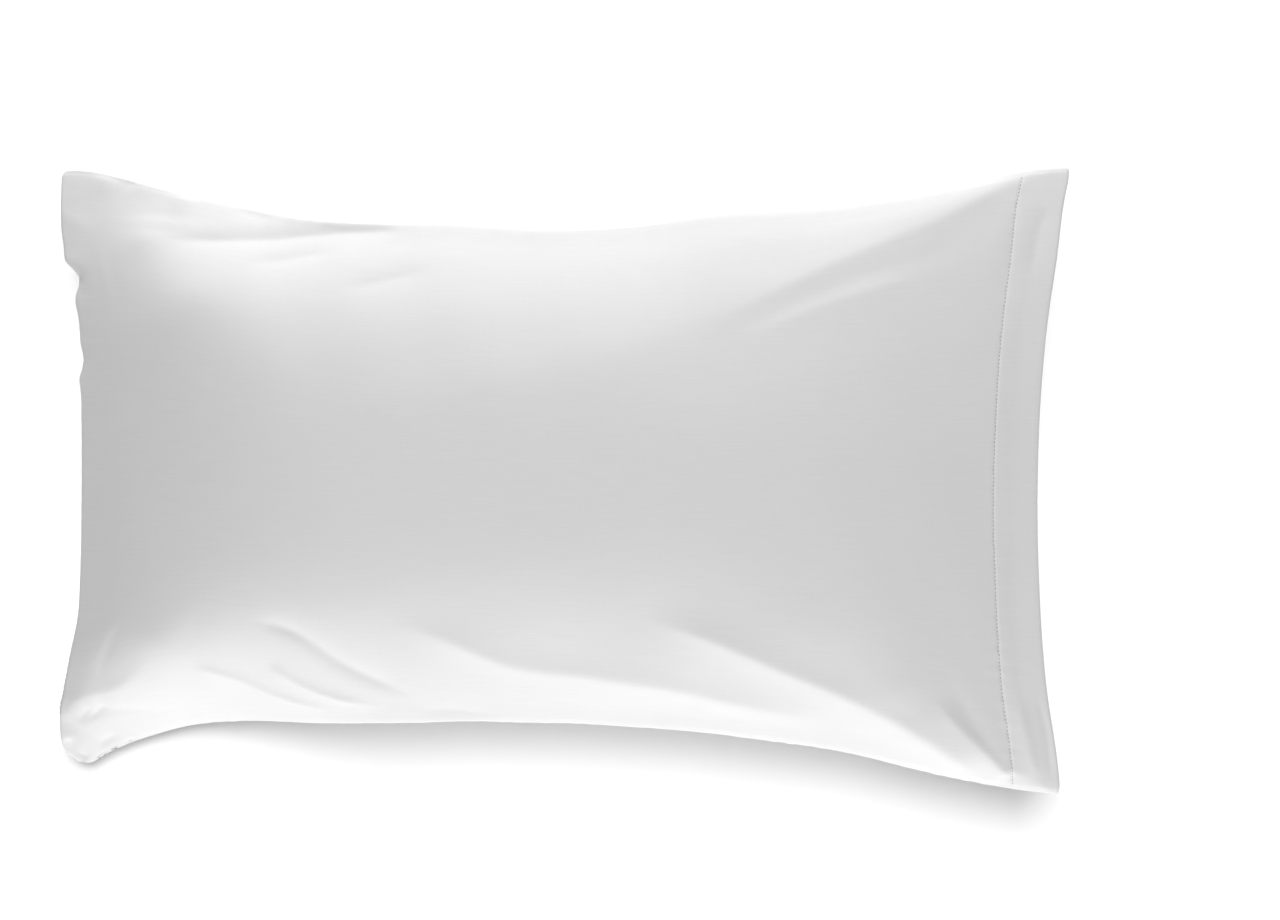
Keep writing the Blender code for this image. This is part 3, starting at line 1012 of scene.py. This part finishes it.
# %% The spun cotton group
THREAD_SLUB = (0.032, 0.0013)  # length and thickness of the slubs that run along the case
CROSS_SLUB = (0.0011, 0.018)
FINE_GRAIN = (0.0009, 0.0009)
CROSS_SHARE = 0.25  # how much of the cross slubs shows
GRAIN_SHARE = 0.4
STREAK_ROUGHNESS = 0.55
SLUB_SHADE = 0.022
CLOTH_WHITE = 0.82
# The sewing thread is really as white as the cloth: this grey is painted shade, standing for the needle holes
# and the shadow between the stitches.
THREAD_GREY_PAINTED_SHADE = 0.42
COTTON_ROUGHNESS = 0.86
ROUGHNESS_SWING = 0.06


def link(tree, source, target):
    tree.links.new(source, target)


def scaled(tree, place, size):
    """The place, divided by this length and this thickness."""
    node = tree.nodes.new("ShaderNodeVectorMath")
    node.operation = "MULTIPLY"
    node.inputs[1].default_value = (1 / size[0], 1 / size[1], 1 / size[1])
    link(tree, place, node.inputs[0])
    return node.outputs[0]


def streaks(tree, place, size, detail):
    """Noise drawn out to this length and this thickness, from 0 to 1."""
    node = tree.nodes.new("ShaderNodeTexNoise")
    node.inputs["Scale"].default_value = 1.0
    node.inputs["Detail"].default_value = detail
    node.inputs["Roughness"].default_value = STREAK_ROUGHNESS
    link(tree, scaled(tree, place, size), node.inputs["Vector"])
    return node.outputs["Fac"]


def mixed(tree, first, second, share):
    """A mix of two numbers."""
    node = tree.nodes.new("ShaderNodeMix")
    node.inputs["Factor"].default_value = share
    link(tree, first, node.inputs["A"])
    link(tree, second, node.inputs["B"])
    return node.outputs["Result"]


def spread(tree, value, low_end, high_end):
    """The middle range of a noise, spread over these two numbers."""
    node = tree.nodes.new("ShaderNodeMapRange")
    node.inputs["From Min"].default_value = 0.25
    node.inputs["From Max"].default_value = 0.75
    node.inputs["To Min"].default_value = low_end
    node.inputs["To Max"].default_value = high_end
    link(tree, value, node.inputs["Value"])
    return node.outputs["Result"]


def spun_cotton_group():
    """Place on the cloth and dye in; colour, roughness and height out."""
    tree = bpy.data.node_groups.new("spun_cotton", "ShaderNodeTree")
    tree.interface.new_socket("Place", in_out="INPUT", socket_type="NodeSocketVector")
    tree.interface.new_socket("Dye", in_out="INPUT", socket_type="NodeSocketColor")
    tree.interface.new_socket("Color", in_out="OUTPUT", socket_type="NodeSocketColor")
    tree.interface.new_socket("Roughness", in_out="OUTPUT", socket_type="NodeSocketFloat")
    tree.interface.new_socket("Height", in_out="OUTPUT", socket_type="NodeSocketFloat")
    given = tree.nodes.new("NodeGroupInput")
    place = given.outputs["Place"]
    out = tree.nodes.new("NodeGroupOutput")
    along, crossing = (streaks(tree, place, size, 2.0) for size in (THREAD_SLUB, CROSS_SLUB))
    slubs = mixed(tree, along, crossing, CROSS_SHARE)
    grain = streaks(tree, place, FINE_GRAIN, 3.0)
    dull, smooth = COTTON_ROUGHNESS + ROUGHNESS_SWING, COTTON_ROUGHNESS - ROUGHNESS_SWING
    shade = tree.nodes.new("ShaderNodeVectorMath")
    shade.operation = "SCALE"
    link(tree, given.outputs["Dye"], shade.inputs[0])
    link(tree, spread(tree, slubs, 1 - SLUB_SHADE, 1 + SLUB_SHADE), shade.inputs["Scale"])
    link(tree, shade.outputs[0], out.inputs["Color"])
    link(tree, spread(tree, slubs, dull, smooth), out.inputs["Roughness"])
    link(tree, mixed(tree, slubs, grain, GRAIN_SHARE), out.inputs["Height"])
    return tree


spun_cotton = spun_cotton_group()
print(f"slubs {1000 * THREAD_SLUB[0]:.0f} mm long and {1000 * THREAD_SLUB[1]:.1f} mm thick")


# %% The cloth and the thread
def cotton_material(name, white, place_of_tree, relief_height, strength):
    """A matt cotton with a faint sheen, made by the group from the place that place_of_tree gives."""
    material = bpy.data.materials.new(name)
    material.use_nodes = True
    tree = material.node_tree
    shader = tree.nodes["Principled BSDF"]
    shader.inputs["Specular IOR Level"].default_value = 0.25
    shader.inputs["Sheen Weight"].default_value = 0.05
    cotton = tree.nodes.new("ShaderNodeGroup")
    cotton.node_tree = spun_cotton
    cotton.inputs["Dye"].default_value = (white, white, white, 1)
    bump = tree.nodes.new("ShaderNodeBump")
    bump.inputs["Strength"].default_value = strength
    bump.inputs["Distance"].default_value = relief_height
    link(tree, place_of_tree(tree), cotton.inputs["Place"])
    link(tree, cotton.outputs["Color"], shader.inputs["Base Color"])
    link(tree, cotton.outputs["Roughness"], shader.inputs["Roughness"])
    link(tree, cotton.outputs["Height"], bump.inputs["Height"])
    link(tree, bump.outputs["Normal"], shader.inputs["Normal"])
    return material


def place_on_case(tree):
    """Where a point lies on the flat cloth, in metres, from the attributes of the skin."""
    place = tree.nodes.new("ShaderNodeCombineXYZ")
    for label, axis in (("along", "X"), ("across", "Y"), ("side", "Z")):
        node = tree.nodes.new("ShaderNodeAttribute")
        node.attribute_name = label
        link(tree, node.outputs["Fac"], place.inputs[axis])
    full = tree.nodes.new("ShaderNodeVectorMath")
    full.operation = "MULTIPLY"
    full.inputs[1].default_value = (CASE_LENGTH, CASE_WIDTH, 0.1)
    link(tree, place.outputs["Vector"], full.inputs[0])
    return full.outputs[0]


def place_on_thread(tree):
    """Where a point lies on the thread, ten times as large, so that the slubs become its twist."""
    node = tree.nodes.new("ShaderNodeTexCoord")
    full = tree.nodes.new("ShaderNodeVectorMath")
    full.operation = "SCALE"
    full.inputs["Scale"].default_value = 10
    link(tree, node.outputs["Object"], full.inputs[0])
    return full.outputs[0]


white_cotton = cotton_material("white_cotton", CLOTH_WHITE, place_on_case, 0.00025, 0.22)
# The thread's grey dye is painted shade of the stitch row, not the thread's own colour.
sewing_thread = cotton_material("sewing_thread", THREAD_GREY_PAINTED_SHADE, place_on_thread, 0.0001, 0.30)
case.data.materials.clear()
case.data.materials.append(white_cotton)
thread.data.materials.append(sewing_thread)
print("two materials share one group")

# %% [markdown]
# ## Floor and light
#
# The case lies on a plain pale floor. Two wide soft lights stand low beside its long edges, so the two
# side slopes come out bright and the flat crown stays a light grey, which is what shows the form of
# white cloth. A weak one above lifts the crown. Two even lights from far away reach only the floor. One
# comes from straight above, and the other leans and is very wide, so the floor is white all over and
# the case lays a soft shadow on it below its lower edge.

# %% The floor
FLOOR_GREY = 0.9
FLOOR_REACH = 30.0
FLOOR_DROP = 0.0005  # keeps the floor clear of the cloth that rests on it

floor_mesh = bpy.data.meshes.new("floor")
floor_corners = [(FLOOR_REACH * x, FLOOR_REACH * y, 0) for x, y in ((-1, -1), (1, -1), (1, 1), (-1, 1))]
floor_mesh.from_pydata(floor_corners, [], [(0, 1, 2, 3)])
floor = bpy.data.objects.new("floor", floor_mesh)
bpy.context.scene.collection.objects.link(floor)
floor.location.z = -FLOOR_DROP
pale = bpy.data.materials.new("pale_floor")
pale.use_nodes = True
surface = pale.node_tree.nodes["Principled BSDF"]
surface.inputs["Base Color"].default_value = (FLOOR_GREY, FLOOR_GREY, FLOOR_GREY, 1)
surface.inputs["Roughness"].default_value = 0.9
surface.inputs["Specular IOR Level"].default_value = 0.0
floor_mesh.materials.append(pale)
print(f"a plain floor {2 * FLOOR_REACH:.0f} m wide")

# %% The lights
# Where each light on the case stands and where it aims, in metres, its size and its power in watts.
Lamp = namedtuple("Lamp", "name place target size power")
CASE_LAMPS = (
    Lamp("upper_light", (0.06, 2.1, 0.80), (0.0, 0.0, 0.08), (1.8, 0.8), 37),
    Lamp("lower_light", (0.06, -2.1, 0.80), (0.0, 0.0, 0.08), (1.8, 0.8), 37),
    Lamp("top_light", (0.05, 0.0, 3.2), (0.05, 0.0, 0.0), (0.5, 0.5), 20),
)
# How far each light on the floor leans and how wide it is, in degrees, and its strength.
Glow = namedtuple("Glow", "name lean spread strength")
FLOOR_GLOWS = (Glow("floor_glow", 0, 4, 0.9), Glow("floor_light", 28, 48, 2.9))
WORLD_STRENGTH = 0.15


def light_only(name, light, things):
    """Stands up a light that reaches only these things."""
    stand = bpy.data.objects.new(name, light)
    bpy.context.scene.collection.objects.link(stand)
    reached = bpy.data.collections.new(f"lit_by_{name}")
    for thing in things:
        reached.objects.link(thing)
    stand.light_linking.receiver_collection = reached
    return stand


for lamp in CASE_LAMPS:
    light = bpy.data.lights.new(lamp.name, "AREA")
    light.shape = "RECTANGLE"
    light.size, light.size_y = lamp.size
    light.energy = lamp.power
    stand = light_only(lamp.name, light, (case, thread))
    stand.location = lamp.place
    stand.rotation_euler = (Vector(lamp.target) - Vector(lamp.place)).to_track_quat("-Z", "Y").to_euler()
for glow in FLOOR_GLOWS:
    light = bpy.data.lights.new(glow.name, "SUN")
    light.angle = math.radians(glow.spread)
    light.energy = glow.strength
    stand = light_only(glow.name, light, (floor,))
    stand.location.z = 3
    stand.rotation_euler.x = -math.radians(glow.lean)

world = bpy.data.worlds.new("studio")
world.use_nodes = True
background = world.node_tree.nodes["Background"]
background.inputs["Color"].default_value = (1, 1, 1, 1)
background.inputs["Strength"].default_value = WORLD_STRENGTH
bpy.context.scene.world = world
bpy.context.scene.view_settings.view_transform = "Standard"
print(f"{len(CASE_LAMPS)} soft lights on the case and {len(FLOOR_GLOWS)} on the floor")

# %% [markdown]
# ## What stands for what
#
# The cloth of the case stands for the frame's solid, which it hides. The stitches ride with it.

# %% Tie the pieces to the frame
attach(case, "root")
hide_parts("pillowcase")
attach(thread, "root")
